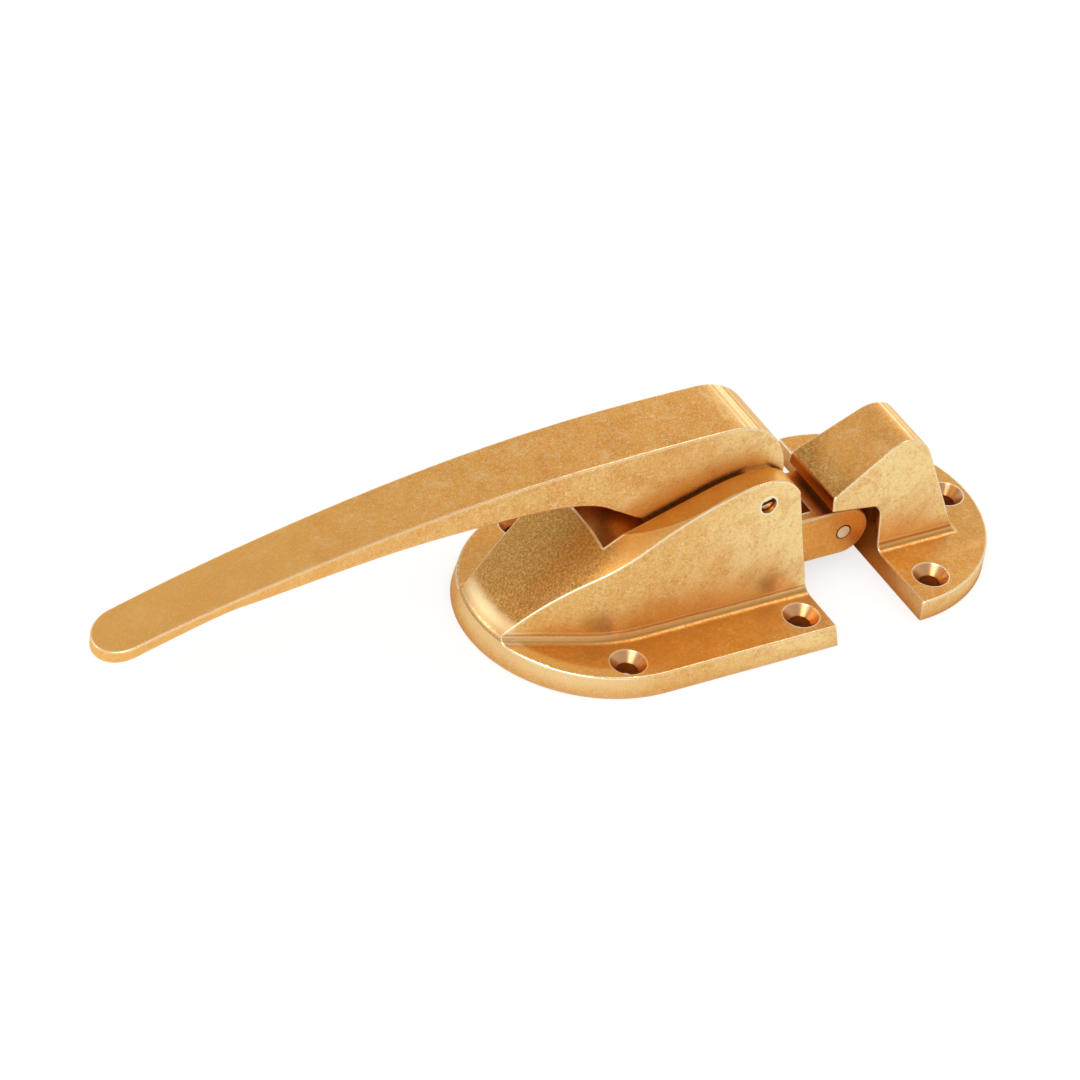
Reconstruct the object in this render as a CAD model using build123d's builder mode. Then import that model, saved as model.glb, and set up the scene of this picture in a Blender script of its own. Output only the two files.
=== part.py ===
from build123d import *
from math import cos, radians, sin, sqrt, tan
import os

# Lever latch with a roller tongue and its strike, cast in brass.
# Millimetres. The origin is the centre of the latch body's screw pattern on its back plane.
# +X runs from the lever's tip towards the strike, +Y across the latch, +Z out of the door.

# Plates and their wood screws
plate_t = 6.35
screw_pitch_x = 54.5
screw_pitch_y = 62.0
screw_bore_r = 2.8
screw_sink_r = 5.1
screw_sink_angle = 82.0

# Latch body flange: a round nose, straight sides and a flat end
flange_r = 39.5
flange_nose_x = -19.25
flange_end_x = 35.2
flange_draft = 9.0

# Housing walls, measured where they stand on the flange
housing_half_w = 22.4
housing_end_x = 34.2
housing_draft = 6.6
housing_tall = 44.0
prow_curve_x = -18.0
prow_curve_r = 45.0
prow_angle = 21.0
foot_r = 2.4
crease_r = 0.6
rim_edge_r = 0.5
flat_tol = 0.001

# Top line of the two rails
rail_apex_x = 19.0
rail_apex_z = 45.0
rail_arc_r = 49.0
rail_line_x = 3.6
rail_end_r = 11.5

# Crowned ramp: an arc along the body from its nose to a crest past the rails, with a crown across it
ramp_nose_z = 6.1
ramp_crest_x = 37.2
ramp_crest_z = 50.4
ramp_crown_r = 50.0
ramp_rim_r = 4.0

# Lever slot and tongue channel in the body
slot_half_w = 11.6
slot_start_x = -27.6
slot_floor_z = 26.3
slot_floor_end_x = -2.4
channel_start_x = -29.5
slide_gap = 0.3

# Back cover and its screws
cover_t = 4.3
cover_start_x = -36.0
cover_end_x = 29.0
cover_half_w = 17.5
cover_corner_r = 3.0
cover_gap = 0.15
cover_screw_inset = 3.6
cover_screw_r = 1.5
cover_screw_head_r = 2.8
cover_screw_len = 10.0
cover_screw_gap = 0.05
cover_slot_w = 0.8
cover_slot_deep = 0.7

# Lever pivot
pivot_x = 18.9
pivot_z = 37.7
pivot_r = 2.4
pivot_inset = 1.3
pivot_slot_w = 1.1
pivot_slot_deep = 1.2
pivot_slot_tilt = 12.0
run_gap = 0.06
bush_wall = 1.5
washer_t = 1.0
washer_r = 7.5

# Lever, given from its pivot
lever_half_w = 10.45
lever_tip_half_w = 8.2
lever_taper_from = 46.0
lever_reach = 191.3
lever_tip_drop = 5.2
lever_tip_t = 3.9
lever_back_far_x = 138.0
lever_back_far_z = 9.1
lever_back_near_x = 74.0
lever_back_near_z = 19.5
lever_belly_far_x = 148.6
lever_belly_far_z = 2.7
lever_belly_mid_x = 108.8
lever_belly_mid_z = 8.2
lever_belly_top_x = 80.0
lever_belly_top_z = 9.8
lever_belly_near_x = 57.8
lever_belly_near_z = 9.1
lever_throat_far_x = 46.0
lever_throat_far_z = 5.4
lever_throat_near_x = 32.0
lever_throat_near_drop = 3.0
hub_back_x = 14.0
hub_front_drop = 7.0
lever_nose_r = 19.0
lever_nose_back = 9.8
lever_nose_up = 3.2
lever_edge_r = 0.6
hub_drop = 14.4
heel_toe = 22.0
heel_pad = 6.0
heel_gap = 0.3
finger_half_t = 4.0
finger_half_w = 6.0

# Tongue
tongue_half_w = 10.3
tongue_tall = 15.5
tongue_bottom_z = 4.65
cheek_t = 3.2
tail_len = 8.4
finger_gap = 0.95
web_x = 42.6
roller_x = 52.55
roller_r = 8.1
roller_pocket_gap = 0.7
roller_side_gap = 0.15
roller_pin_r = 1.95
roller_pin_proud = 0.1
roller_bush_r = 3.2
press_gap = 0.02
edge_break = 0.4
cut_past = 1.0

# Tongue spring and its guide rod
spring_wire_r = 0.8
spring_coil_r = 4.6
spring_turns = 7
spring_end_gap = 0.1
guide_r = 2.5
guide_len = 22.0
guide_root = 4.5
spring_washer_t = 1.0
spring_washer_r = 6.6

# Strike
strike_edge_x = 62.15
strike_r = 38.7
strike_screw_x = 8.6
strike_screw_y = 29.0
strike_screw_end = 6.8
hook_half_w = 14.6
hook_draft = 9.3
hook_foot_r = 2.0
hook_edge_r = 0.5
hook_lip_x = 46.3
hook_lip_z = 22.2
hook_lip_top_z = 26.3
hook_lip_r = 1.6
hook_lip_low_r = 0.6
hook_ceiling_z = 20.1
hook_notch_r = 3.0
hook_slope = 31.4
hook_top_r = 8.8
hook_back_x = 87.2
hook_back_lean = 19.9

tongue_mid_z = tongue_bottom_z + tongue_tall / 2
tongue_top_z = tongue_bottom_z + tongue_tall
channel_top_z = tongue_top_z + slide_gap
channel_half_w = tongue_half_w + slide_gap
cheek_inside = tongue_half_w - cheek_t
tail_front_x = pivot_x - finger_half_t - finger_gap
tail_back_x = tail_front_x - tail_len


def sink_screw_holes(top_z, places):
    """Countersunk holes through a plate, from its top face."""
    with Locations(*[(x, y, top_z) for x, y in places]):
        CounterSinkHole(screw_bore_r, screw_sink_r, counter_sink_angle=screw_sink_angle)


# Plan outline of the housing: straight walls that curve in to a prow ahead of the flange's nose
curve_end_x = prow_curve_x - prow_curve_r * sin(radians(prow_angle))
curve_end_y = housing_half_w - prow_curve_r * (1 - cos(radians(prow_angle)))
prow_x = curve_end_x - curve_end_y / tan(radians(prow_angle))
with BuildSketch(Plane.XY.offset(plate_t)) as housing_plan:
    with BuildLine():
        Line((housing_end_x, -housing_half_w), (housing_end_x, housing_half_w))
        Line((housing_end_x, housing_half_w), (prow_curve_x, housing_half_w))
        RadiusArc((prow_curve_x, housing_half_w), (curve_end_x, curve_end_y), -prow_curve_r)
        Line((curve_end_x, curve_end_y), (prow_x, 0))
        Line((prow_x, 0), (curve_end_x, -curve_end_y))
        RadiusArc((curve_end_x, -curve_end_y), (prow_curve_x, -housing_half_w), -prow_curve_r)
        Line((prow_curve_x, -housing_half_w), (housing_end_x, -housing_half_w))
    make_face()

with BuildSketch() as flange_plan:
    with Locations((flange_nose_x, 0)):
        Circle(flange_r)
    with Locations(((flange_nose_x + flange_end_x) / 2, 0)):
        Rectangle(flange_end_x - flange_nose_x, 2 * flange_r)

rail_half_chord = rail_apex_x - rail_line_x
rail_line_z = rail_apex_z - rail_arc_r + sqrt(rail_arc_r**2 - rail_half_chord**2)
rail_line_slope = rail_half_chord / sqrt(rail_arc_r**2 - rail_half_chord**2)
rail_low_x = flange_nose_x - flange_r - plate_t
rail_low_z = rail_line_z - rail_line_slope * (rail_line_x - rail_low_x)
rail_end_x = rail_apex_x + rail_end_r
ramp_run = ramp_crest_x - (flange_nose_x - flange_r)
ramp_climb = ramp_crest_z - ramp_nose_z
ramp_arc_r = (ramp_run**2 + ramp_climb**2) / (2 * ramp_climb)
ramp_axis_z = ramp_crest_z - ramp_arc_r
body_screw_x = screw_pitch_x / 2
body_screw_y = screw_pitch_y / 2
body_screws = [(x, y) for x in (-body_screw_x, body_screw_x) for y in (-body_screw_y, body_screw_y)]
cover_mid_x = (cover_start_x + cover_end_x) / 2
cover_screw_pitch_x = cover_end_x - cover_start_x - 2 * cover_screw_inset
cover_screw_pitch_y = 2 * (channel_half_w + cover_half_w) / 2

# Drafted walls on a wide plate, with a cast cove along the foot of each long wall
with BuildPart() as walls_on_plate:
    with BuildSketch():
        with Locations(((prow_x + flange_end_x) / 2, 0)):
            Rectangle(2 * (flange_end_x - prow_x), 4 * flange_r)
    extrude(amount=plate_t)
    extrude(housing_plan.sketch, amount=housing_tall, taper=housing_draft)
    foot_edges = walls_on_plate.edges().filter_by_position(Axis.Z, plate_t - crease_r, plate_t + crease_r)
    foot_edges = foot_edges.filter_by_position(Axis.Y, -housing_half_w - crease_r, housing_half_w + crease_r)
    fillet(foot_edges.filter_by_position(Axis.X, prow_x, housing_end_x - crease_r), foot_r)

with BuildPart() as latch_body:
    # The flange's outline carried up to the crowned ramp, with a rounded rim between them
    extrude(flange_plan.sketch, amount=housing_tall + plate_t, taper=flange_draft)
    with BuildSketch(Plane((ramp_crest_x, 0, ramp_axis_z), x_dir=(0, 1, 0), z_dir=(1, 0, 0))):
        with Locations((0, ramp_arc_r - ramp_crown_r)):
            Circle(ramp_crown_r)
    revolve(axis=Axis((ramp_crest_x, 0, ramp_axis_z), (0, -1, 0)), mode=Mode.INTERSECT)
    nose_rim = latch_body.edges().filter_by(lambda e: e.bounding_box().min.Z > flat_tol).sort_by(Axis.X)[0]
    fillet(nose_rim, ramp_rim_r)
    # Trimmed to the walls on their plate and to the rails' side line
    add(walls_on_plate.part, mode=Mode.INTERSECT)
    with BuildSketch(Plane.XZ):
        with BuildLine():
            Line((rail_low_x, rail_low_z), (rail_line_x, rail_line_z))
            RadiusArc((rail_line_x, rail_line_z), (rail_apex_x, rail_apex_z), rail_arc_r)
            RadiusArc((rail_apex_x, rail_apex_z), (rail_end_x, rail_apex_z - rail_end_r), rail_end_r)
            Polyline(
                (rail_end_x, rail_apex_z - rail_end_r),
                (housing_end_x, plate_t),
                (2 * flange_end_x, plate_t),
                (2 * flange_end_x, 0),
                (rail_low_x, 0),
                (rail_low_x, rail_low_z),
            )
        make_face()
    extrude(amount=flange_r, both=True, mode=Mode.INTERSECT)
    # Rounded creases where the walls meet the ramp and the rails, and a broken edge round the flange
    wall_rise = sin(radians(housing_draft))
    walls = latch_body.faces().filter_by(lambda f: abs(f.normal_at().Z - wall_rise) < flat_tol)
    creases = walls.edges().filter_by(lambda e: e.bounding_box().size.X > e.bounding_box().size.Z)
    fillet(creases.filter_by_position(Axis.Z, plate_t + 2 * foot_r, rail_apex_z), crease_r)
    rim_edges = latch_body.edges().filter_by_position(Axis.Z, plate_t - flat_tol, plate_t + flat_tol)
    fillet(rim_edges.filter_by(lambda e: abs(e.center().Y) > housing_half_w + foot_r), rim_edge_r)
    # Lever slot, open at the top and at the tongue's end
    with BuildSketch(Plane.XY.offset(slot_floor_z)):
        with Locations(((slot_start_x + 2 * flange_end_x) / 2, 0)):
            Rectangle(2 * flange_end_x - slot_start_x, 2 * slot_half_w)
    extrude(amount=housing_tall, mode=Mode.SUBTRACT)
    with BuildSketch(Plane.XY.offset(channel_top_z)):
        with Locations(((slot_floor_end_x + 2 * flange_end_x) / 2, 0)):
            Rectangle(2 * flange_end_x - slot_floor_end_x, 2 * slot_half_w)
    extrude(amount=slot_floor_z - channel_top_z, mode=Mode.SUBTRACT)
    # Channel for the tongue and its spring
    with BuildSketch(Plane.XY.offset(cover_t)):
        with Locations(((channel_start_x + 2 * flange_end_x) / 2, 0)):
            Rectangle(2 * flange_end_x - channel_start_x, 2 * channel_half_w)
    extrude(amount=channel_top_z - cover_t, mode=Mode.SUBTRACT)
    # Recess for the back cover, and its tapped holes
    with BuildSketch():
        with Locations((cover_mid_x, 0)):
            RectangleRounded(cover_end_x - cover_start_x, 2 * cover_half_w, cover_corner_r)
    extrude(amount=cover_t, mode=Mode.SUBTRACT)
    with BuildSketch(Plane.XY.offset(cover_t)):
        with Locations((cover_mid_x, 0)):
            with GridLocations(cover_screw_pitch_x, cover_screw_pitch_y, 2, 2):
                Circle(cover_screw_r + cover_screw_gap)
    extrude(amount=cover_screw_len - cover_t + cut_past, mode=Mode.SUBTRACT)
    sink_screw_holes(plate_t, body_screws)
    # Pivot bore through both rails, and the guide rod's seat
    with BuildSketch(Plane.XZ):
        with Locations((pivot_x, pivot_z)):
            Circle(pivot_r + press_gap)
    extrude(amount=flange_r, both=True, mode=Mode.SUBTRACT)
    with BuildSketch(Plane.YZ.offset(channel_start_x - guide_root)):
        with Locations((0, tongue_mid_z)):
            Circle(guide_r + press_gap)
    extrude(amount=guide_root + cut_past, mode=Mode.SUBTRACT)
latch_body.part.label = "latch_body"

# Back cover, let in flush behind the tongue
with BuildPart() as back_cover:
    with BuildSketch():
        with Locations((cover_mid_x, 0)):
            RectangleRounded(
                cover_end_x - cover_start_x - 2 * cover_gap,
                2 * (cover_half_w - cover_gap),
                cover_corner_r - cover_gap,
            )
    extrude(amount=cover_t)
    with Locations(Location((cover_mid_x, 0, 0), (180, 0, 0))):
        with GridLocations(cover_screw_pitch_x, cover_screw_pitch_y, 2, 2):
            CounterSinkHole(
                cover_screw_r + cover_screw_gap,
                cover_screw_head_r + cover_screw_gap,
                counter_sink_angle=90,
            )
back_cover.part.label = "back_cover"

# Four flat-head machine screws in the back cover, slotted
with BuildPart() as cover_screws:
    with Locations((cover_mid_x, 0)):
        with GridLocations(cover_screw_pitch_x, cover_screw_pitch_y, 2, 2):
            Cylinder(cover_screw_r, cover_screw_len, align=(Align.CENTER, Align.CENTER, Align.MIN))
            Cone(
                cover_screw_head_r,
                cover_screw_r,
                cover_screw_head_r - cover_screw_r,
                align=(Align.CENTER, Align.CENTER, Align.MIN),
            )
            Box(
                2 * cover_screw_head_r,
                cover_slot_w,
                2 * cover_slot_deep,
                mode=Mode.SUBTRACT,
            )
cover_screws.part.label = "cover_screws"

# Lever: a side profile cut by a plan that tapers to a full-round tip
tip_x = pivot_x - lever_reach
tip_z = pivot_z - lever_tip_drop
heel_floor_z = slot_floor_z + heel_gap
hub_bottom_z = pivot_z - hub_drop
lever_end_x = pivot_x + lever_nose_r - lever_nose_back
lever_nose_z = pivot_z + lever_nose_up
bush_r = pivot_r + run_gap + bush_wall
with BuildPart() as handle:
    with BuildSketch(Plane.XZ):
        with BuildLine():
            Spline(
                (tip_x, tip_z),
                (pivot_x - lever_back_far_x, pivot_z + lever_back_far_z),
                (pivot_x - lever_back_near_x, pivot_z + lever_back_near_z),
                (pivot_x - lever_nose_back, lever_nose_z + lever_nose_r),
                tangents=[(1, 0.33), (1, 0)],
            )
            RadiusArc(
                (pivot_x - lever_nose_back, lever_nose_z + lever_nose_r),
                (lever_end_x, lever_nose_z),
                lever_nose_r,
            )
            Polyline(
                (lever_end_x, lever_nose_z),
                (lever_end_x, pivot_z - hub_front_drop),
                (pivot_x + finger_half_t, hub_bottom_z),
                (pivot_x - hub_back_x, hub_bottom_z),
                (pivot_x - heel_toe, heel_floor_z),
                (pivot_x - heel_toe - heel_pad, heel_floor_z),
                (pivot_x - lever_throat_near_x, pivot_z - lever_throat_near_drop),
                (pivot_x - lever_throat_far_x, pivot_z + lever_throat_far_z),
            )
            Spline(
                (pivot_x - lever_throat_far_x, pivot_z + lever_throat_far_z),
                (pivot_x - lever_belly_near_x, pivot_z + lever_belly_near_z),
                (pivot_x - lever_belly_top_x, pivot_z + lever_belly_top_z),
                (pivot_x - lever_belly_mid_x, pivot_z + lever_belly_mid_z),
                (pivot_x - lever_belly_far_x, pivot_z + lever_belly_far_z),
                (tip_x, tip_z - lever_tip_t),
                tangents=[(-1, 0.6), (-1, -0.33)],
            )
            Line((tip_x, tip_z - lever_tip_t), (tip_x, tip_z))
        make_face()
    extrude(amount=lever_half_w + cut_past, both=True)
    with BuildSketch() as lever_plan:
        with BuildLine():
            Line((tip_x + lever_tip_half_w, lever_tip_half_w), (pivot_x - lever_taper_from, lever_half_w))
            Polyline(
                (pivot_x - lever_taper_from, lever_half_w),
                (pivot_x + 2 * lever_nose_r, lever_half_w),
                (pivot_x + 2 * lever_nose_r, -lever_half_w),
                (pivot_x - lever_taper_from, -lever_half_w),
                (tip_x + lever_tip_half_w, -lever_tip_half_w),
            )
            ThreePointArc(
                (tip_x + lever_tip_half_w, -lever_tip_half_w),
                (tip_x, 0),
                (tip_x + lever_tip_half_w, lever_tip_half_w),
            )
        make_face()
    extrude(amount=2 * pivot_z, mode=Mode.INTERSECT)
    fillet(handle.edges().filter_by(Axis.Y, reverse=True), lever_edge_r)
    # Finger that draws the tongue back
    with BuildSketch(Plane.XZ):
        with Locations((pivot_x, (tongue_mid_z + pivot_z) / 2)):
            Rectangle(2 * finger_half_t, pivot_z - tongue_mid_z)
        with Locations((pivot_x, tongue_mid_z)):
            Circle(finger_half_t)
    extrude(amount=finger_half_w, both=True)
    with BuildSketch(Plane.XZ):
        with Locations((pivot_x, pivot_z)):
            Circle(bush_r + press_gap)
    extrude(amount=lever_half_w, both=True, mode=Mode.SUBTRACT)
handle.part.label = "handle"

# Sleeve pressed into the lever, running on the pivot pin
with BuildPart() as handle_bush:
    with BuildSketch(Plane.XZ):
        with Locations((pivot_x, pivot_z)):
            Circle(bush_r)
            Circle(pivot_r + run_gap, mode=Mode.SUBTRACT)
    extrude(amount=lever_half_w, both=True)
handle_bush.part.label = "handle_bush"

# Pivot pin with a screwdriver slot in its near end
pivot_half_len = housing_half_w - (pivot_z - plate_t) * tan(radians(housing_draft)) - pivot_inset
with BuildPart() as pivot_pin:
    with BuildSketch(Plane.XZ):
        with Locations((pivot_x, pivot_z)):
            Circle(pivot_r)
    extrude(amount=pivot_half_len, both=True)
    chamfer(pivot_pin.edges().filter_by(GeomType.CIRCLE), edge_break)
    with BuildSketch(Plane.XZ.offset(pivot_half_len)):
        with Locations(Location((pivot_x, pivot_z), pivot_slot_tilt)):
            Rectangle(3 * pivot_r, pivot_slot_w)
    extrude(amount=-pivot_slot_deep, mode=Mode.SUBTRACT)
pivot_pin.part.label = "pivot_pin"


def thrust_washer(side):
    """A washer between the lever's hub and one rail."""
    with BuildPart() as washer:
        with BuildSketch(Plane.XZ.offset(-side * (lever_half_w + slot_half_w) / 2)):
            with Locations((pivot_x, pivot_z)):
                Circle(washer_r)
                Circle(pivot_r + run_gap, mode=Mode.SUBTRACT)
        extrude(amount=washer_t / 2, both=True)
    return washer.part


near_thrust_washer = thrust_washer(-1)
near_thrust_washer.label = "near_thrust_washer"
far_thrust_washer = thrust_washer(1)
far_thrust_washer.label = "far_thrust_washer"

# Tongue: two round-nosed cheeks, a web behind the roller and a tail block
with BuildPart() as tongue:
    with BuildSketch(Plane.XZ):
        with Locations(((tail_back_x + roller_x) / 2, tongue_mid_z)):
            Rectangle(roller_x - tail_back_x, tongue_tall)
        with Locations((roller_x, tongue_mid_z)):
            Circle(tongue_tall / 2)
    extrude(amount=tongue_half_w, both=True)
    outline = tongue.faces().filter_by(Axis.Y).edges()
    chamfer(outline, edge_break)
    with BuildSketch(Plane.XY.offset(tongue_bottom_z)):
        with Locations(((tail_front_x + web_x) / 2, 0)):
            Rectangle(web_x - tail_front_x, 2 * cheek_inside)
        with Locations((roller_x + tongue_tall / 2, 0)):
            Rectangle(tongue_tall, 2 * cheek_inside)
    extrude(amount=tongue_tall, mode=Mode.SUBTRACT)
    with BuildSketch(Plane.XZ):
        with Locations((roller_x, tongue_mid_z)):
            Circle(roller_r + roller_pocket_gap)
    extrude(amount=cheek_inside, both=True, mode=Mode.SUBTRACT)
    with BuildSketch(Plane.XZ):
        with Locations((roller_x, tongue_mid_z)):
            Circle(roller_pin_r + press_gap)
    extrude(amount=tongue_half_w, both=True, mode=Mode.SUBTRACT)
    with BuildSketch(Plane.YZ.offset(tail_back_x)):
        with Locations((0, tongue_mid_z)):
            Circle(guide_r + slide_gap)
    extrude(amount=tail_len, mode=Mode.SUBTRACT)
tongue.part.label = "tongue"


def ring_on_roller_axis(outer_r, inner_r, half_len, break_edges):
    """A ring about the roller's axis, across the tongue."""
    with BuildPart() as ring:
        with BuildSketch(Plane.XZ):
            with Locations((roller_x, tongue_mid_z)):
                Circle(outer_r)
                if inner_r:
                    Circle(inner_r, mode=Mode.SUBTRACT)
        extrude(amount=half_len, both=True)
        if break_edges:
            rims = ring.edges().filter_by(GeomType.CIRCLE).group_by(SortBy.RADIUS)[-1]
            chamfer(rims, edge_break)
    return ring.part


roller_half_len = cheek_inside - roller_side_gap
roller = ring_on_roller_axis(roller_r, roller_bush_r + press_gap, roller_half_len, True)
roller.label = "roller"
roller_bush = ring_on_roller_axis(roller_bush_r, roller_pin_r + run_gap, roller_half_len, False)
roller_bush.label = "roller_bush"
roller_pin = ring_on_roller_axis(roller_pin_r, 0, tongue_half_w + roller_pin_proud, False)
roller_pin.label = "roller_pin"

# Spring behind the tongue, its washer on the tail and the rod that keeps it straight
with BuildPart() as spring_washer:
    with BuildSketch(Plane.YZ.offset(tail_back_x - spring_washer_t)):
        with Locations((0, tongue_mid_z)):
            Circle(spring_washer_r)
            Circle(guide_r + slide_gap, mode=Mode.SUBTRACT)
    extrude(amount=spring_washer_t)
spring_washer.part.label = "spring_washer"

with BuildPart() as spring_guide_rod:
    with BuildSketch(Plane.YZ.offset(channel_start_x - guide_root + press_gap)):
        with Locations((0, tongue_mid_z)):
            Circle(guide_r)
    extrude(amount=guide_root + guide_len)
    chamfer(spring_guide_rod.edges().sort_by(Axis.X)[-1], edge_break)
spring_guide_rod.part.label = "spring_guide_rod"

spring_first_x = channel_start_x + spring_end_gap + spring_wire_r
spring_last_x = tail_back_x - spring_washer_t - spring_end_gap - spring_wire_r
with BuildPart() as tongue_spring:
    with BuildLine() as coil:
        Helix(
            pitch=(spring_last_x - spring_first_x) / spring_turns,
            height=spring_last_x - spring_first_x,
            radius=spring_coil_r,
            center=(spring_first_x, 0, tongue_mid_z),
            direction=(1, 0, 0),
        )
    with BuildSketch(Plane(coil.line @ 0, z_dir=coil.line % 0)):
        Circle(spring_wire_r)
    sweep(is_frenet=True)
tongue_spring.part.label = "tongue_spring"

# Strike: a half-round plate and a hook over the roller
hook_rise = tan(radians(hook_slope))
hook_fall = tan(radians(hook_back_lean))
hook_line_z = hook_lip_top_z - hook_rise * hook_lip_x
hook_peak_x = (hook_back_x - hook_fall * (hook_line_z - plate_t)) / (1 + hook_fall * hook_rise)
hook_peak_z = hook_lip_top_z + hook_rise * (hook_peak_x - hook_lip_x)
strike_end_x = strike_edge_x + strike_r
with BuildPart() as hook:
    with BuildSketch(Plane.XZ):
        with BuildLine():
            FilletPolyline(
                (strike_edge_x, plate_t),
                (strike_edge_x, hook_ceiling_z),
                (hook_lip_x, hook_lip_z),
                (hook_lip_x, hook_lip_top_z),
                (hook_peak_x, hook_peak_z),
                (hook_back_x, plate_t),
                radius=[hook_notch_r, hook_lip_low_r, hook_lip_r, hook_top_r],
            )
            Line((hook_back_x, plate_t), (strike_edge_x, plate_t))
        make_face()
    extrude(amount=hook_half_w, both=True)
    with BuildSketch(Plane.XY.offset(plate_t)):
        with Locations(((strike_edge_x + hook_back_x) / 2, 0)):
            Rectangle(2 * strike_r, 2 * hook_half_w)
    extrude(amount=hook_peak_z, taper=hook_draft, mode=Mode.INTERSECT)

strike_screws = [
    (strike_edge_x + strike_screw_x, -strike_screw_y),
    (strike_edge_x + strike_screw_x, strike_screw_y),
    (strike_end_x - strike_screw_end, 0),
]
with BuildPart() as strike:
    with BuildSketch():
        with Locations((strike_edge_x + strike_r, 0)):
            Rectangle(2 * strike_r, 2 * strike_r)
    extrude(amount=plate_t)
    add(hook.part)
    hook_foot = strike.edges().filter_by_position(Axis.Z, plate_t - flat_tol, plate_t + flat_tol)
    hook_foot = hook_foot.filter_by_position(Axis.Y, -hook_half_w - flat_tol, hook_half_w + flat_tol)
    hook_foot = hook_foot.filter_by_position(Axis.X, strike_edge_x + hook_foot_r, hook_back_x + flat_tol)
    fillet(hook_foot, hook_foot_r)
    # Half-round outline
    with BuildSketch():
        with Locations((strike_edge_x + strike_r, 0)):
            Rectangle(4 * strike_r, 4 * strike_r)
        with Locations((strike_edge_x, 0)):
            Circle(strike_r, mode=Mode.SUBTRACT)
        with Locations((strike_edge_x - strike_r, 0)):
            Rectangle(2 * strike_r, 4 * strike_r, mode=Mode.SUBTRACT)
    extrude(amount=2 * plate_t, mode=Mode.SUBTRACT)
    hook_edges = strike.edges().filter_by(Axis.Y, reverse=True)
    fillet(hook_edges.filter_by_position(Axis.Z, plate_t + 2 * hook_foot_r, 2 * hook_peak_z), hook_edge_r)
    rim_arc = strike.edges().filter_by_position(Axis.Z, plate_t - flat_tol, plate_t + flat_tol)
    rim_arc = rim_arc.sort_by(SortBy.LENGTH)[-1]
    fillet(rim_arc, rim_edge_r)
    sink_screw_holes(plate_t, strike_screws)
strike.part.label = "strike"

os.makedirs("parts", exist_ok=True)
pieces = [
    latch_body.part,
    back_cover.part,
    cover_screws.part,
    handle.part,
    handle_bush.part,
    pivot_pin.part,
    near_thrust_washer,
    far_thrust_washer,
    tongue.part,
    roller,
    roller_bush,
    roller_pin,
    spring_washer.part,
    spring_guide_rod.part,
    tongue_spring.part,
    strike.part,
]
for piece in pieces:
    export_step(piece, f"parts/{piece.label}.step")
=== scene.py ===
import math

import bpy
from mathutils import Matrix, Vector


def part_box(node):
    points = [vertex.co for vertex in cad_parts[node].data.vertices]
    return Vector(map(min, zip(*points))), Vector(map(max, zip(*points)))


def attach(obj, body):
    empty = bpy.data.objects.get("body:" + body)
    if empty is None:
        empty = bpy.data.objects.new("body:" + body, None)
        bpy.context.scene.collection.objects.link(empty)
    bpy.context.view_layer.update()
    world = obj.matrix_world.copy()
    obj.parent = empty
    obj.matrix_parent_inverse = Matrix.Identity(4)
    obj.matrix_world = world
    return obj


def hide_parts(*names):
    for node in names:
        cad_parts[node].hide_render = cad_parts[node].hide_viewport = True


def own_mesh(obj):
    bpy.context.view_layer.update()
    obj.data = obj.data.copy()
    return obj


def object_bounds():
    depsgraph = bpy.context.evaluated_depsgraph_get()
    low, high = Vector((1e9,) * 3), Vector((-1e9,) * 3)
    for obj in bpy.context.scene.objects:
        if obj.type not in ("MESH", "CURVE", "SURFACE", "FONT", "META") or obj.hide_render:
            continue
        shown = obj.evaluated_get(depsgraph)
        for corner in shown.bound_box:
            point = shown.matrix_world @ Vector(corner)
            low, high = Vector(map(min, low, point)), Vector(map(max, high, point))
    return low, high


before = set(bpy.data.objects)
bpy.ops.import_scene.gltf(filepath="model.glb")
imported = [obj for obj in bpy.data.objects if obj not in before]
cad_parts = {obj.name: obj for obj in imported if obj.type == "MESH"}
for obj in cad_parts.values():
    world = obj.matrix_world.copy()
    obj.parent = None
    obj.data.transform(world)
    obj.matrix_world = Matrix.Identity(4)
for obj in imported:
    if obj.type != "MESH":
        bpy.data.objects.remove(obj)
CAD_LOW, CAD_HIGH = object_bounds()
MM = 0.001

# Places and lengths on the object, in metres

PLATE_TOP = 6.35 * MM
BODY_HOLE = (27.25 * MM, 31 * MM, 0)
BODY_FOOT_Y = 24.6 * MM
STRIKE_HOLE_PAIR = (70.75 * MM, 29 * MM, 0)
STRIKE_HOLE_SINGLE = (94.05 * MM, 0, 0)
STRIKE_FOOT_Y = 16.6 * MM
STRIKE_END_X = 62.15 * MM
SINK_R = 5.1 * MM
BORE_R = 2.8 * MM
NOSE_MIDDLE = (-19.25 * MM, 0, 0)
# Middles of the painted dark reflections of the countersinks on the walls
DARK_REFLECTION_TOWARDS_STRIKE = (22.0 * MM, 0, 12.5 * MM)
DARK_REFLECTION_TOWARDS_NOSE = (-32.0 * MM, 0, 12.0 * MM)


def axis_of(node):
    """The x and z of the middle of a round node that lies along Y."""
    low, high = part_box(node)
    return (low[0] + high[0]) / 2, (low[2] + high[2]) / 2


ROLLER_AXIS = axis_of("roller")
PIVOT_AXIS = axis_of("pivot_pin")
ROLLER_PIN_R = (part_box("roller_pin")[1][0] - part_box("roller_pin")[0][0]) / 2

# Brass, roughly from pale to dark

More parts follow.
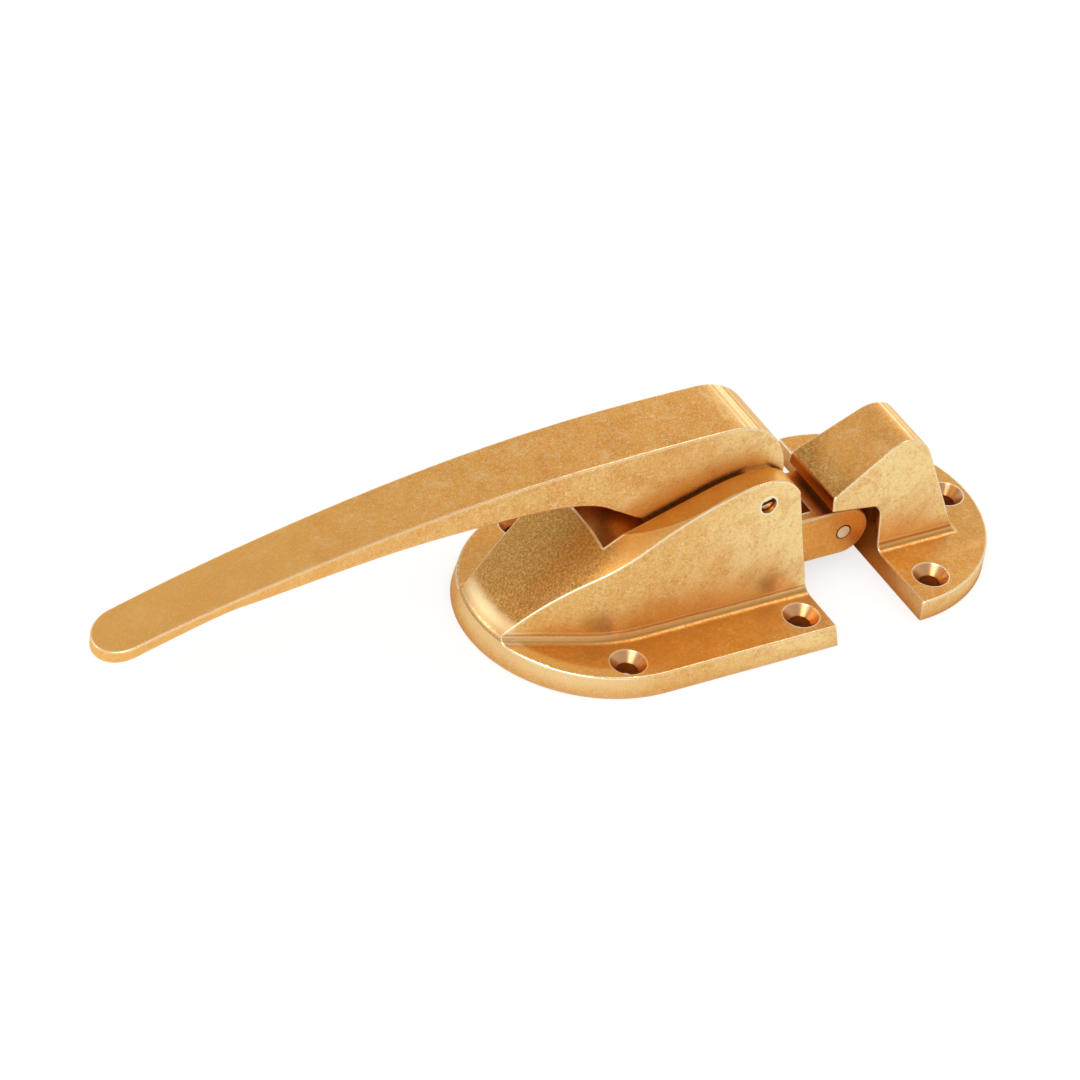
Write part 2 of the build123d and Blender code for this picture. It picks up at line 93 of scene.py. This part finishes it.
EDGE = (1.0, 0.92, 0.68, 1)
BRIGHT = (1.0, 0.86, 0.58, 1)
LIGHT = (0.97, 0.72, 0.36, 1)
PALE = (0.97, 0.72, 0.31, 1)
CREAM = (0.82, 0.58, 0.28, 1)
WHEAT = (0.84, 0.51, 0.165, 1)
HANDLED = (0.93, 0.50, 0.135, 1)
GLOW = (0.84, 0.44, 0.115, 1)
HONEY = (0.85, 0.415, 0.095, 1)
ORANGE = (0.87, 0.41, 0.08, 1)
COPPER = (0.60, 0.335, 0.18, 1)
BROWN = (0.60, 0.325, 0.105, 1)
GREENISH = (0.56, 0.315, 0.095, 1)
# painted shade on the rail tops under the lever
RAIL_SHADE_BROWN = (0.60, 0.29, 0.065, 1)
DEEP = (0.68, 0.28, 0.05, 1)
AMBER = (0.70, 0.27, 0.045, 1)
DEEP_BROWN = (0.42, 0.19, 0.045, 1)
RUST = (0.55, 0.17, 0.020, 1)
OLIVE = (0.25, 0.115, 0.020, 1)
UMBER = (0.46, 0.105, 0.009, 1)
PITS = (0.15, 0.070, 0.014, 1)
# The next two are painted shade: near black for the deepest corners and the ring round the roller's pin, and
# the dark inside the bores.
SHADE_BLACK = (0.22, 0.050, 0.006, 1)
BORE_SHADE = (0.20, 0.04, 0.006, 1)

# Steel, and the painted shade in the corners of machined metal

BRIGHT_STEEL = (1.0, 0.94, 0.69, 1)
STEEL = (0.97, 0.89, 0.69, 1)
DULL_STEEL = (0.86, 0.75, 0.51, 1)
WIRE_STEEL = (0.34, 0.32, 0.30, 1)
DARK_WIRE = (0.20, 0.18, 0.16, 1)
CORNER_SHADE = (0.10, 0.065, 0.035, 1)

# What all the metals share

GRAZE = (1.0, 0.87, 0.64, 1)
# The gloss of the non-metal parts, which are the painted shade deep in corners.
NON_METAL_GLOSS = 0.1
NEARNESS_SAMPLES = 12


class Nodes:
    """A material's node tree, with short calls for its usual nodes."""

    def __init__(self, name):
        self.material = bpy.data.materials.new(name)
        self.material.use_nodes = True
        self.tree = self.material.node_tree
        self.tree.nodes.clear()
        self.output = self.tree.nodes.new("ShaderNodeOutputMaterial")

    def add(self, kind, **settings):
        node = self.tree.nodes.new(kind)
        for key, value in settings.items():
            setattr(node, key, value)
        return node

    def put(self, socket, value):
        """Links a node's output, or sets a constant."""
        if isinstance(value, bpy.types.NodeSocket):
            self.tree.links.new(value, socket)
        else:
            socket.default_value = value

    def math(self, operation, a, b=0.0):
        node = self.add("ShaderNodeMath", operation=operation)
        self.put(node.inputs[0], a)
        self.put(node.inputs[1], b)
        return node.outputs[0]

    def times(self, first, *others):
        for other in others:
            first = self.math("MULTIPLY", first, other)
        return first

    def plus(self, a, b):
        return self.math("ADD", a, b)

    def rest_of(self, a):
        return self.math("SUBTRACT", 1.0, a)

    def size(self, a):
        return self.math("ABSOLUTE", a)

    def distance(self, a, b):
        node = self.add("ShaderNodeVectorMath", operation="DISTANCE")
        self.put(node.inputs[0], a)
        self.put(node.inputs[1], b)
        return node.outputs["Value"]

    def step(self, value, low, high, to_low=0.0, to_high=1.0):
        """A smooth step, to_low where the value is at low and to_high where it is at high."""
        node = self.add("ShaderNodeMapRange", interpolation_type="SMOOTHSTEP")
        for socket, number in zip(node.inputs, (value, low, high, to_low, to_high)):
            self.put(socket, number)
        return node.outputs[0]

    def mix(self, factor, a, b):
        """A mix of two colours, which are this node's inputs 6 and 7 and its output 2."""
        node = self.add("ShaderNodeMix", data_type="RGBA")
        self.put(node.inputs["Factor"], factor)
        self.put(node.inputs[6], a)
        self.put(node.inputs[7], b)
        return node.outputs[2]

    def noise(self, where, scale, detail=3.0, rough=0.55, distort=0.0):
        node = self.add("ShaderNodeTexNoise")
        self.put(node.inputs["Vector"], where)
        self.put(node.inputs["Scale"], scale)
        self.put(node.inputs["Detail"], detail)
        self.put(node.inputs["Roughness"], rough)
        self.put(node.inputs["Distortion"], distort)
        return node.outputs["Fac"]

    def split(self, vector):
        node = self.add("ShaderNodeSeparateXYZ")
        self.put(node.inputs[0], vector)
        return node.outputs

    def join(self, x, y, z):
        node = self.add("ShaderNodeCombineXYZ")
        for socket, value in zip(node.inputs, (x, y, z)):
            self.put(socket, value)
        return node.outputs[0]


class Finish(Nodes):
    """A metal finish, whose colour, roughness and height are built up in layers.

    Places and directions are the piece's own, so the finish stays on it as it moves.
    metal falls in the deepest corners, under the painted shade there, graze is the tint of a flat glance,
    and the edge share is how much of the pale edge paint, part real rubbing and part painted highlight, a
    place gets.
    """

    def __init__(self, name, colour, rough):
        super().__init__(name)
        coords = self.add("ShaderNodeTexCoord")
        self.here = coords.outputs["Object"]
        self.x, self.y, self.z = self.split(self.here)
        self.nx, self.ny, self.nz = self.split(coords.outputs["Normal"])
        self.colour = colour
        self.rough = rough
        self.metal = 1.0
        self.graze = GRAZE
        self.wear_and_glint_share = 1.0
        self.height = 0.0

    def paint(self, mask, colour):
        self.colour = self.mix(mask, self.colour, colour)

    def roughen(self, mask, amount=1.0):
        self.rough = self.plus(self.rough, self.times(mask, amount))

    def lift(self, mask, amount=1.0):
        self.height = self.plus(self.height, self.times(mask, amount))

    def lines(self, along, across):
        """Fine marks that run where neither coordinate across them changes."""
        return self.noise(self.join(along, *across), scale=1, detail=3, rough=0.6)

    def round_y(self, axis):
        """The distance from an axis along Y."""
        return self.distance(self.join(self.x, 0.0, self.z), (axis[0], 0, axis[1]))

    def edge(self, reach, low, high):
        """1 along outer edges, sharp or rounded, where there is little metal behind the surface."""
        node = self.add("ShaderNodeAmbientOcclusion", samples=NEARNESS_SAMPLES, inside=True, only_local=True)
        self.put(node.inputs["Distance"], reach)
        return self.step(node.outputs["AO"], high, low)

    def open_air(self, reach):
        """1 where nothing is near, 0 deep in a corner."""
        node = self.add("ShaderNodeAmbientOcclusion", samples=NEARNESS_SAMPLES, only_local=False)
        self.put(node.inputs["Distance"], reach)
        return node.outputs["AO"]

    def done(self, bump_strength, bump_reach):
        bump = self.add("ShaderNodeBump")
        self.put(bump.inputs["Height"], self.height)
        self.put(bump.inputs["Strength"], bump_strength)
        self.put(bump.inputs["Distance"], bump_reach)
        shader = self.add("ShaderNodeBsdfPrincipled")
        self.put(shader.inputs["Base Color"], self.colour)
        self.put(shader.inputs["Roughness"], self.rough)
        self.put(shader.inputs["Metallic"], self.metal)
        self.put(shader.inputs["Specular IOR Level"], NON_METAL_GLOSS)
        self.put(shader.inputs["Specular Tint"], self.graze)
        self.put(shader.inputs["Normal"], bump.outputs[0])
        self.put(self.output.inputs["Surface"], shader.outputs[0])
        return self.material


# Cast brass and its layers

def cast_brass(name, side=WHEAT, bright_side=PALE, top=HONEY, coarse=1.0, layers=()):
    """Old cast brass: clouds, mottle, specks, painted shade in corners, and pale edges that are part real
    rubbing and part painted highlight.

    side turns to bright_side towards the strike, top is a painted deeper tone on upward faces for how light
    falls on them, and coarse is the strength of the patterns.
    """
    n = Finish(name, side, rough=0.35)
    cloud = n.noise(n.here, scale=38, detail=3, rough=0.55, distort=0.8)
    blotch = n.noise(n.here, scale=150, detail=4, rough=0.65, distort=0.5)
    n.mottle = n.noise(n.here, scale=760, detail=4, rough=0.7, distort=0.3)
    speck = n.noise(n.here, scale=2100, detail=2, rough=0.7)
    towards_strike = n.step(n.x, -15 * MM, 25 * MM)
    facing_up = n.step(n.nz, 0.15, 0.85)
    n.paint(towards_strike, bright_side)
    # Painted light: upward faces take the top colour, a painted tone for how light falls on them.
    n.paint(facing_up, top)
    for pattern, starts, full, strength, colour in (
            (cloud, 0.48, 0.66, 0.34, AMBER),
            (blotch, 0.50, 0.66, 0.34, AMBER),
            (blotch, 0.46, 0.32, 0.34, LIGHT),
            (n.mottle, 0.50, 0.68, 0.25, RUST),
            (n.mottle, 0.48, 0.32, 0.30, LIGHT),
            (speck, 0.52, 0.72, 0.55, BRIGHT),
            (speck, 0.47, 0.28, 0.34, RUST)):
        n.paint(n.step(pattern, starts, full, 0, strength * coarse), colour)
    n.roughen(n.step(n.mottle, 0.30, 0.70, -0.05, 0.07))
    n.roughen(n.step(speck, 0.30, 0.70, 0.05, -0.05), coarse)
    n.lift(n.mottle, 0.6 * coarse)
    n.lift(speck, 0.4 * coarse)
    for layer in layers:
        layer(n)
    # Painted light and shade by how shut in a place is: a painted warm glow of light thrown back between
    # near faces, then painted shade, umber and near black, with less metal and a darker glance, deep in
    # corners and gaps.
    air = n.open_air(reach=11 * MM)
    n.paint(n.step(air, 0.86, 0.50, 0, 0.45), GLOW)
    n.paint(n.step(air, 0.76, 0.22, 0, 0.97), UMBER)
    n.paint(n.step(air, 0.36, 0.12), SHADE_BLACK)
    n.metal = n.step(air, 0.12, 0.40)
    n.graze = n.mix(n.step(air, 0.75, 0.25), GRAZE, AMBER)
    # The pale edge colour is part real rubbing and part a painted highlight along the edges, kept out of
    # corners and uneven along them.
    in_reach = n.step(air, 0.55, 0.92)
    uneven = n.step(blotch, 0.25, 0.55, 0.75, 1.0)
    edge_wear_and_glint = n.times(n.edge(reach=0.70 * MM, low=0.80, high=0.95), in_reach, uneven, n.wear_and_glint_share)
    n.paint(edge_wear_and_glint, EDGE)
    n.roughen(edge_wear_and_glint, -0.12)
    return n.done(bump_strength=0.34, bump_reach=0.10 * MM)


def ramp_skin(n):
    """The rough, dark cast skin on the body's sloping nose, but for a strip by the near crease."""
    waver = n.times(n.noise(n.here, scale=90, detail=3, rough=0.6), 8 * MM)
    along = n.plus(n.x, waver)
    ends = n.times(n.step(along, -58 * MM, -50 * MM), n.step(along, -14 * MM, -24 * MM))
    slant = n.plus(n.plus(n.y, n.times(n.x, -0.35)), waver)
    off_crease = n.step(slant, -6 * MM, 1 * MM)
    sloping = n.times(n.step(n.nx, -0.12, -0.26), n.step(n.nz, 0.4, 0.75))
    mask = n.times(ends, off_crease, sloping)
    grain = n.noise(n.here, scale=1500, detail=3, rough=0.75, distort=0.2)
    pits = n.noise(n.here, scale=2700, detail=2, rough=0.6)
    n.paint(n.times(mask, 0.62), GREENISH)
    n.paint(n.times(mask, n.step(grain, 0.62, 0.40, 0, 0.60)), OLIVE)
    n.paint(n.times(mask, n.step(pits, 0.43, 0.34, 0, 0.70)), PITS)
    n.roughen(mask, 0.10)
    n.lift(n.times(mask, grain), 1.1)


def hook_skin(n):
    """The dark cast skin along the hook's lip."""
    waver = n.times(n.noise(n.here, scale=120, detail=3, rough=0.6), 10 * MM)
    near_lip = n.step(n.plus(n.x, waver), 62 * MM, 50 * MM)
    facing_up = n.step(n.nz, 0.2, 0.6)
    mask = n.times(near_lip, facing_up)
    grain = n.noise(n.here, scale=1150, detail=3, rough=0.75, distort=0.2)
    pits = n.noise(n.here, scale=2700, detail=2, rough=0.6)
    n.paint(n.times(mask, n.step(grain, 0.66, 0.36, 0.15, 0.80)), OLIVE)
    n.paint(n.times(mask, n.step(pits, 0.44, 0.34, 0, 0.50)), PITS)
    n.lift(n.times(mask, grain), 0.8)


def foot_marks_and_shading(foot_y):
    """Fine marks along the cove at a wall's foot, with painted shade in the cove, darkest at its bottom, and
    a painted shadow line under a painted highlight line on the wall above it.
    """
    along, across = 22.0, 2600.0

    def layer(n):
        above_plate = n.step(n.z, PLATE_TOP + 0.05 * MM, PLATE_TOP + 0.6 * MM)
        under_wall = n.step(n.z, 10.0 * MM, 7.6 * MM)
        by_foot = n.step(n.size(n.y), foot_y + 1.0 * MM, foot_y)
        cove = n.times(above_plate, under_wall, by_foot)
        marks = n.lines(n.times(n.x, along), (n.times(n.z, across), 0.0))
        # Painted shade over the whole cove.
        n.paint(n.times(cove, 0.75), BROWN)
        n.paint(n.times(cove, n.step(marks, 0.48, 0.34, 0, 0.40)), RUST)
        n.paint(n.times(cove, n.step(marks, 0.52, 0.66, 0, 0.30)), BRIGHT)
        # Deeper painted shade at the bottom of the cove.
        foot_shade = n.step(n.z, PLATE_TOP + 1.5 * MM, PLATE_TOP + 0.4 * MM)
        n.paint(n.times(cove, foot_shade, 0.65), DEEP_BROWN)
        # A painted highlight line on the wall, with a painted shadow line under it.
        up_wall = n.plus(n.z, n.times(n.noise(n.here, scale=60, detail=2), 0.9 * MM))
        wall = n.step(n.size(n.ny), 0.80, 0.94)
        highlight_line = n.times(wall, n.step(up_wall, 9.0 * MM, 9.35 * MM), n.step(up_wall, 9.8 * MM, 9.45 * MM))
        shadow_line = n.times(wall, n.step(up_wall, 8.4 * MM, 8.7 * MM), n.step(up_wall, 9.05 * MM, 8.8 * MM))
        n.paint(n.times(highlight_line, 0.75), BRIGHT)
        n.paint(n.times(shadow_line, 0.45), RUST)
    return layer


def crease_highlight(n):
    """A painted highlight along the line where the body's ramp and rails meet its walls."""
    past_wall = n.step(n.nz, 0.28, 0.50)
    short_of_top = n.step(n.nz, 0.78, 0.60)
    sideways = n.step(n.size(n.ny), 0.2, 0.4)
    above_cove = n.step(n.z, 9.5 * MM, 11.0 * MM)
    on_nose = n.step(n.nx, -0.10, -0.22)
    line = n.times(past_wall, short_of_top, sideways, n.math("MAXIMUM", above_cove, on_nose))
    n.paint(n.times(line, 0.72), EDGE)
    n.roughen(line, -0.08)


def fainter_slot_edges(n):
    """Less of the pale edge paint, part real rubbing and part painted highlight, on the edges beside the
    lever's slot.
    """
    n.wear_and_glint_share = n.step(n.size(n.y), 10.5 * MM, 13 * MM, 0.45, 1.0)


def wall_dark_reflections(n):
    """Painted dark reflections of the countersinks, low on the walls beside them."""
    place = n.join(n.x, 0.0, n.z)
    one = n.distance(place, DARK_REFLECTION_TOWARDS_STRIKE)
    other = n.distance(place, DARK_REFLECTION_TOWARDS_NOSE)
    nearest = n.math("MINIMUM", one, other)
    reach = n.plus(nearest, n.times(n.noise(n.here, scale=300, detail=3), 3 * MM))
    wall = n.step(n.size(n.ny), 0.75, 0.95)
    # Painted dark reflections of the countersinks.
    n.paint(n.times(wall, n.step(reach, 7.5 * MM, 1.5 * MM, 0, 0.55)), DEEP_BROWN)


def plate_bounce_and_shade(foot_y, strength):
    """A painted deeper orange on a plate's top, for light thrown back onto it by the wall, and painted brown
    shade along the wall's foot.
    """
    def layer(n):
        # Painted light thrown back onto the plate, patchy with the mottle.
        facing_up = n.step(n.nz, 0.80, 0.95)
        at_plate = n.step(n.z, PLATE_TOP + 0.9 * MM, PLATE_TOP + 0.1 * MM)
        patchy = n.times(facing_up, at_plate, n.step(n.mottle, 0.34, 0.66, 0.45, 1.55))
        n.paint(n.times(patchy, strength), DEEP)
        # Painted brown shade along the wall's foot.
        by_foot = n.step(n.size(n.y), foot_y + 6.1 * MM, foot_y + 0.1 * MM, 0, 0.34)
        n.paint(n.times(patchy, by_foot), BROWN)
    return layer


def rail_shade(n):
    """Painted shade: the browner tops of the rails, under the lever."""
    facing_up = n.step(n.nz, 0.70, 0.92)
    at_rail = n.step(n.z, 24 * MM, 31 * MM)
    n.paint(n.times(facing_up, at_rail, 0.50), RAIL_SHADE_BROWN)


def nose_highlight(n):
    """A painted highlight on the rounding and side of the nose's near half."""
    reach = n.distance(n.join(n.x, n.y, 0.0), NOSE_MIDDLE)
    near_half = n.step(n.y, 16 * MM, 2 * MM)
    facing_up = n.step(n.nz, 0.10, 0.35)
    rim = n.times(n.step(reach, 33.5 * MM, 36.5 * MM), n.step(n.x, -24 * MM, -34 * MM), facing_up, near_half)
    n.paint(n.times(rim, 0.75), BRIGHT)
    n.roughen(rim, -0.08)
    upper = n.step(n.z, 0.5 * MM, 5 * MM)
    side = n.times(n.step(reach, 34.0 * MM, 36.0 * MM), n.step(n.x, -14 * MM, -36 * MM), upper, near_half)
    n.paint(n.times(side, 0.72), LIGHT)


def shaded_end(n):
    """Painted shade on the strike's straight edge, deepest between the hook and the tongue."""
    facing_tongue = n.step(n.nx, -0.6, -0.9)
    at_end = n.step(n.x, STRIKE_END_X + 4 * MM, STRIKE_END_X + 2 * MM)
    towards_middle = n.step(n.size(n.y), 37 * MM, 14 * MM, 0.35, 0.97)
    n.paint(n.times(facing_tongue, at_end, towards_middle), UMBER)


def handled_tip(n):
    """The paler brass towards the lever's tip, where hands have kept it bright."""
    n.paint(n.step(n.x, -40 * MM, -150 * MM, 0, 0.60), HANDLED)


def round_marks_and_highlight(n):
    """Linished marks across the rounded end of the lever's hub and of the hook, over a painted cream
    highlight.
    """
    along, across = 16.0, 1100.0
    mask = n.times(n.step(n.nx, 0.05, 0.24), n.step(n.nz, -0.1, 0.15))
    marks = n.lines(n.times(n.y, along), (n.times(n.x, across), n.times(n.z, across)))
    # A painted cream highlight over the rounding, under the marks.
    n.paint(n.times(mask, 0.72), CREAM)
    n.paint(n.times(mask, n.step(marks, 0.47, 0.34, 0, 0.60)), BROWN)
    n.paint(n.times(mask, n.step(marks, 0.50, 0.64, 0, 0.50)), EDGE)
    n.roughen(n.times(mask, n.step(marks, 0.35, 0.65, 0.06, -0.12)))


def drilled(radius_at):
    """Turned countersinks, bores painted near black as shade, and a pale rim that is part real rubbing and
    part painted highlight, but none on the back.
    """
    radians_per_metre = 26000.0
    turned_rough = 0.28

    def layer(n):
        radius = radius_at(n)
        off_back = n.step(n.nz, -0.9, -0.5)
        cut = n.times(n.step(radius, SINK_R + 0.06 * MM, SINK_R), off_back)
        bore = n.step(radius, BORE_R + 0.25 * MM, BORE_R - 0.05 * MM)
        rings = n.math("SINE", n.times(n.z, radians_per_metre))
        # The bores are painted dark as shade.
        n.paint(cut, n.mix(bore, COPPER, BORE_SHADE))
        n.paint(n.times(cut, n.step(rings, -1.0, 1.0, 0, 0.16)), RUST)
        within_rim = n.step(radius, SINK_R + 0.32 * MM, SINK_R + 0.18 * MM)
        past_sink = n.step(radius, SINK_R - 0.05 * MM, SINK_R + 0.04 * MM)
        n.paint(n.times(within_rim, past_sink, off_back, 0.8), EDGE)
        n.rough = n.plus(n.times(n.rough, n.rest_of(cut)), n.times(cut, turned_rough))
    return layer


def body_radius(n):
    """The distance from the nearest of the body's four holes."""
    return n.distance(n.join(n.size(n.x), n.size(n.y), 0.0), BODY_HOLE)


def strike_radius(n):
    """The distance from the nearest of the strike's three holes."""
    pair = n.distance(n.join(n.x, n.size(n.y), 0.0), STRIKE_HOLE_PAIR)
    single = n.distance(n.join(n.x, n.y, 0.0), STRIKE_HOLE_SINGLE)
    return n.math("MINIMUM", pair, single)


def round_pin(n):
    """A painted dark ring of shade round the roller's pin, as in a gap, with no pale edge paint in it."""
    gap = n.step(n.round_y(ROLLER_AXIS), ROLLER_PIN_R + 0.62 * MM, ROLLER_PIN_R + 0.40 * MM)
    n.paint(gap, SHADE_BLACK)
    n.wear_and_glint_share = n.rest_of(gap)


# Machined metals

def turned_metal(name, light, dark, rough, axis=None):
    """Machined metal, with rings about a Y axis where one is given, or else with marks along Z."""
    n = Finish(name, light, rough)
    mottle = n.noise(n.here, scale=500, detail=4, rough=0.65)
    if axis is None:
        along, across = 40.0, 900.0
        marks = n.lines(n.times(n.z, along), (n.times(n.x, across), n.times(n.y, across)))
    else:
        outward, sideways = 3200.0, 4000.0
        marks = n.lines(0.0, (n.times(n.round_y(axis), outward), n.times(n.y, sideways)))
    n.paint(n.step(mottle, 0.32, 0.68), dark)
    n.paint(n.step(marks, 0.46, 0.32, 0, 0.5), dark)
    n.roughen(n.step(marks, 0.3, 0.7, -0.05, 0.05))
    n.paint(n.times(n.edge(reach=0.5 * MM, low=0.64, high=0.86), 0.5), EDGE)
    # Painted shade in corners and recesses.
    n.paint(n.step(n.open_air(reach=5 * MM), 0.45, 0.08, 0, 0.80), CORNER_SHADE)
    n.lift(marks)
    return n.done(bump_strength=0.12, bump_reach=0.04 * MM)


BODY = cast_brass("body_brass", layers=(
    plate_bounce_and_shade(BODY_FOOT_Y, strength=0.32), rail_shade, ramp_skin, nose_highlight, wall_dark_reflections, crease_highlight,
    fainter_slot_edges, foot_marks_and_shading(BODY_FOOT_Y), drilled(body_radius)))
STRIKE = cast_brass("strike_brass", layers=(
    plate_bounce_and_shade(STRIKE_FOOT_Y, strength=0.10), hook_skin, round_marks_and_highlight, foot_marks_and_shading(STRIKE_FOOT_Y),
    drilled(strike_radius), shaded_end))
LEVER = cast_brass("lever_brass", coarse=1.15, layers=(handled_tip, round_marks_and_highlight))
TONGUE = cast_brass("tongue_brass", side=ORANGE, bright_side=ORANGE, top=AMBER, coarse=0.5,
                    layers=(round_pin,))
COVER = cast_brass("cover_brass", coarse=0.7)
SCREW = turned_metal("screw_brass", HONEY, COPPER, rough=0.30)
BRONZE = turned_metal("bush_bronze", COPPER, RUST, rough=0.34)
PIVOT = turned_metal("pivot_steel", BRIGHT_STEEL, STEEL, rough=0.30, axis=PIVOT_AXIS)
ROLLER_PIN = turned_metal("roller_pin_steel", BRIGHT_STEEL, STEEL, rough=0.40, axis=ROLLER_AXIS)
ROLLER = turned_metal("roller_steel", STEEL, DULL_STEEL, rough=0.13, axis=ROLLER_AXIS)
WIRE = turned_metal("wire_steel", WIRE_STEEL, DARK_WIRE, rough=0.35)

FINISH = {
    "latch_body": BODY,
    "strike": STRIKE,
    "handle": LEVER,
    "tongue": TONGUE,
    "back_cover": COVER,
    "cover_screws": SCREW,
    "handle_bush": BRONZE,
    "roller_bush": BRONZE,
    "near_thrust_washer": BRONZE,
    "far_thrust_washer": BRONZE,
    "pivot_pin": PIVOT,
    "roller_pin": ROLLER_PIN,
    "roller": ROLLER,
    "spring_washer": WIRE,
    "spring_guide_rod": WIRE,
    "tongue_spring": WIRE,
}
for node, material in FINISH.items():
    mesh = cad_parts[node].data
    mesh.materials.clear()
    mesh.materials.append(material)


# The tongue's spring

def squeezed_spring():
    """The spring as a piece of its own, attached to the body, in place of the hidden model spring."""
    spring = bpy.data.objects.new("spring_coil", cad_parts["tongue_spring"].data.copy())
    bpy.context.scene.collection.objects.link(spring)
    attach(spring, "base_body")
    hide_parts("tongue_spring")
    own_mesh(spring)


squeezed_spring()


# Floor, light and camera

def grey(value):
    return (value, value, value, 1)


def stage_floor():
    """White paper under the object, which the camera sees as plain white with a soft shadow."""
    reach = 6.0
    drop = 0.0002
    paper_white, seen_white, glow_strength = 0.88, 0.32, 0.72
    mesh = bpy.data.meshes.new("floor")
    mesh.from_pydata([(-reach, -reach, 0), (reach, -reach, 0), (reach, reach, 0), (-reach, reach, 0)],
                     [], [(0, 1, 2, 3)])
    floor = bpy.data.objects.new("floor", mesh)
    floor.location.z = CAD_LOW.z - drop
    bpy.context.scene.collection.objects.link(floor)
    n = Nodes("floor_white")
    paper = n.add("ShaderNodeBsdfDiffuse")
    n.put(paper.inputs["Color"], grey(paper_white))
    seen = n.add("ShaderNodeBsdfDiffuse")
    n.put(seen.inputs["Color"], grey(seen_white))
    glow = n.add("ShaderNodeEmission")
    n.put(glow.inputs["Color"], grey(1))
    n.put(glow.inputs["Strength"], glow_strength)
    both = n.add("ShaderNodeAddShader")
    n.put(both.inputs[0], seen.outputs[0])
    n.put(both.inputs[1], glow.outputs[0])
    choice = n.add("ShaderNodeMixShader")
    n.put(choice.inputs[0], n.add("ShaderNodeLightPath").outputs["Is Camera Ray"])
    n.put(choice.inputs[1], paper.outputs[0])
    n.put(choice.inputs[2], both.outputs[0])
    n.put(n.output.inputs["Surface"], choice.outputs[0])
    mesh.materials.append(n.material)


def studio_world():
    """A white room that is darker overhead; the camera sees plain white."""
    dims_from, dims_to = 0.10, 0.85
    horizon, overhead = 1.0, 0.66
    world = bpy.data.worlds.new("studio")
    bpy.context.scene.world = world
    world.use_nodes = True
    tree = world.node_tree
    tree.nodes.clear()
    coords = tree.nodes.new("ShaderNodeTexCoord")
    split = tree.nodes.new("ShaderNodeSeparateXYZ")
    tree.links.new(coords.outputs["Generated"], split.inputs[0])
    height = tree.nodes.new("ShaderNodeMapRange")
    height.interpolation_type = "SMOOTHSTEP"
    height.inputs["From Min"].default_value = dims_from
    height.inputs["From Max"].default_value = dims_to
    height.inputs["To Min"].default_value = horizon
    height.inputs["To Max"].default_value = overhead
    tree.links.new(split.outputs[2], height.inputs["Value"])
    room = tree.nodes.new("ShaderNodeBackground")
    room.inputs["Color"].default_value = grey(1)
    tree.links.new(height.outputs[0], room.inputs["Strength"])
    white = tree.nodes.new("ShaderNodeBackground")
    white.inputs["Color"].default_value = grey(1)
    white.inputs["Strength"].default_value = 1.0
    path = tree.nodes.new("ShaderNodeLightPath")
    mix = tree.nodes.new("ShaderNodeMixShader")
    tree.links.new(path.outputs["Is Camera Ray"], mix.inputs[0])
    tree.links.new(room.outputs[0], mix.inputs[1])
    tree.links.new(white.outputs[0], mix.inputs[2])
    out = tree.nodes.new("ShaderNodeOutputWorld")
    tree.links.new(mix.outputs[0], out.inputs["Surface"])


def soft_box(name, place, size, power):
    """A rectangular lamp that looks at the object."""
    data = bpy.data.lights.new(name, "AREA")
    data.shape = "RECTANGLE"
    data.size, data.size_y = size
    data.energy = power
    lamp = bpy.data.objects.new(name, data)
    lamp.location = place
    lamp.rotation_mode = "QUATERNION"
    lamp.rotation_quaternion = (-Vector(place)).to_track_quat("-Z", "Y")
    bpy.context.scene.collection.objects.link(lamp)


def photo_camera():
    """The photograph's view, fitted to the screw holes and the plate edges."""
    azimuth, elevation, roll = (math.radians(a) for a in (-34.71, 38.55, 8.92))
    back = Vector((math.sin(azimuth) * math.cos(elevation),
                   -math.cos(azimuth) * math.cos(elevation), math.sin(elevation)))
    level_right = Vector((math.cos(azimuth), math.sin(azimuth), 0))
    level_up = back.cross(level_right)
    right = level_right * math.cos(roll) + level_up * math.sin(roll)
    up = level_up * math.cos(roll) - level_right * math.sin(roll)
    away, side, rise = 1.4224, -0.00862, 0.01413
    aim = Vector((-0.02725, 0, PLATE_TOP))
    focal_px, frame_px, sensor = 5256.8, 1080, 36
    data = bpy.data.cameras.new("camera")
    data.sensor_width = sensor
    data.lens = focal_px / frame_px * sensor
    data.clip_start, data.clip_end = 0.05, 50
    camera = bpy.data.objects.new("camera", data)
    turn = Matrix((right, up, back)).transposed()
    camera.matrix_world = Matrix.Translation(aim + back * away + right * side + up * rise) @ turn.to_4x4()
    bpy.context.scene.collection.objects.link(camera)
    bpy.context.scene.camera = camera


stage_floor()
studio_world()
soft_box("key", place=(-0.9, -0.7, 1.1), size=(0.9, 0.9), power=8)
soft_box("overhead", place=(0.78, 0.10, 1.50), size=(0.8, 0.6), power=3.4)
soft_box("nose_light", place=(-1.30, 0.78, 0.32), size=(0.6, 0.5), power=1.9)
soft_box("back_light", place=(1.2, 1.0, 0.38), size=(0.9, 0.7), power=1.0)
photo_camera()
bpy.context.scene.view_settings.view_transform = "Standard"
